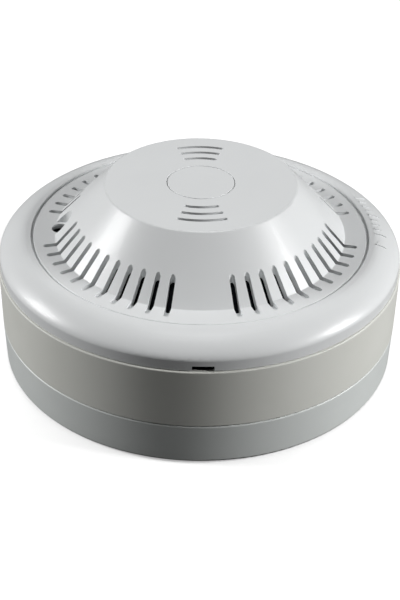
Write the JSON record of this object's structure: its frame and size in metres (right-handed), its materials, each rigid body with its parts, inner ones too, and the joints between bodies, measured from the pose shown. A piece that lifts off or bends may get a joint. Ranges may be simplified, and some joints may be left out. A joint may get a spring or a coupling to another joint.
{
  "type": "heat detector",
  "caption": "Round ceiling heat detector: twist-on head with a vented conical cage, press-to-test button and lift-off cover, on a shallow base with slotted fixings.",
  "frame": {"origin": "centre of the base's flat mounting face", "axes": "+Z out of the mounting face along the detector's round axis; the cover's pry notch faces -Y and the indicator lamp is at -X"},
  "size_m": [0.107, 0.107, 0.0494],
  "materials": {
    "cool_white_abs": "fine satin moulding",
    "warm_white_abs": "fine satin moulding, slightly warmer white",
    "gloss_white_abs": "polished moulding",
    "black_plastic": "dull black moulding",
    "chip_black": "moulded epoxy",
    "relay_white": "smooth case",
    "capacitor_sleeve": "shrunk sleeve",
    "resistor_tan": "lacquered",
    "varistor_blue": "dipped epoxy",
    "ceramic_ochre": "dipped epoxy",
    "plunger_grey": "moulded",
    "lamp_epoxy": "clear smoky epoxy, unlit",
    "spacer_white": "moulded",
    "bead_epoxy": "dipped epoxy",
    "board_green": "solder mask",
    "tinned_steel": "tin plated",
    "zinc_steel": "zinc plated",
    "spring_steel": "bright strip and wire",
    "brass_nut": "as machined"
  },
  "bodies": {
    "base": {"mounting_base": "cool_white_abs", "terminal_nuts": "brass_nut", "clamp_plates": "zinc_steel", "terminal_screws": "zinc_steel", "contact_spring_1": "spring_steel", "contact_spring_2": "spring_steel", "contact_spring_3": "spring_steel", "contact_spring_4": "spring_steel"},
    "head": {"body_shell": "warm_white_abs", "contact_blade_1": "tinned_steel", "contact_blade_2": "tinned_steel", "contact_blade_3": "tinned_steel", "contact_blade_4": "tinned_steel", "circuit_board": "board_green", "microcontroller": "chip_black", "comparator": "chip_black", "alarm_relay": "relay_white", "filter_capacitors": "capacitor_sleeve", "transistors": "chip_black", "resistors": "resistor_tan", "rectifier_diodes": "chip_black", "surge_suppressor": "varistor_blue", "ceramic_capacitors": "ceramic_ochre", "test_switch": "black_plastic", "indicator_lamp": "lamp_epoxy", "lamp_leads": "tinned_steel", "lamp_spacer": "spacer_white", "exposed_thermistor": "bead_epoxy", "exposed_thermistor_holder": "spacer_white", "reference_thermistor": "bead_epoxy", "reference_thermistor_holder": "spacer_white", "baffle_plate": "black_plastic", "baffle_screws": "zinc_steel", "board_spacers": "spacer_white"},
    "cover": {"outer_cover": "gloss_white_abs", "sensor_cage": "gloss_white_abs", "insect_screen": "black_plastic", "button_spring": "spring_steel"},
    "button": {"test_button": "gloss_white_abs", "button_clip": "spring_steel"},
    "plunger": {"switch_plunger": "plunger_grey"}
  },
  "joints": [
    {"name": "head_twist", "type": "hinge", "parent": "base", "child": "head", "pos_m": [0, 0, 0], "axis": [0, 0, 1], "range_deg": [0, 20]},
    {"name": "cover_lift", "type": "slide", "parent": "head", "child": "cover", "axis": [0, 0, 1], "range_m": [0, 0.03]},
    {"name": "test_press", "type": "slide", "parent": "cover", "child": "button", "axis": [0, 0, -1], "range_m": [0, 0.0006], "stiffness_N_per_m": 500, "springref_m": -0.002, "deforming": ["button_spring"]},
    {"name": "switch_travel", "type": "slide", "parent": "head", "child": "plunger", "axis": [0, 0, -1], "range_m": [0, 0.0006]}
  ],
  "couplings": [
    {"joint": "switch_travel", "follows": "test_press", "ratio": 1}
  ]
}
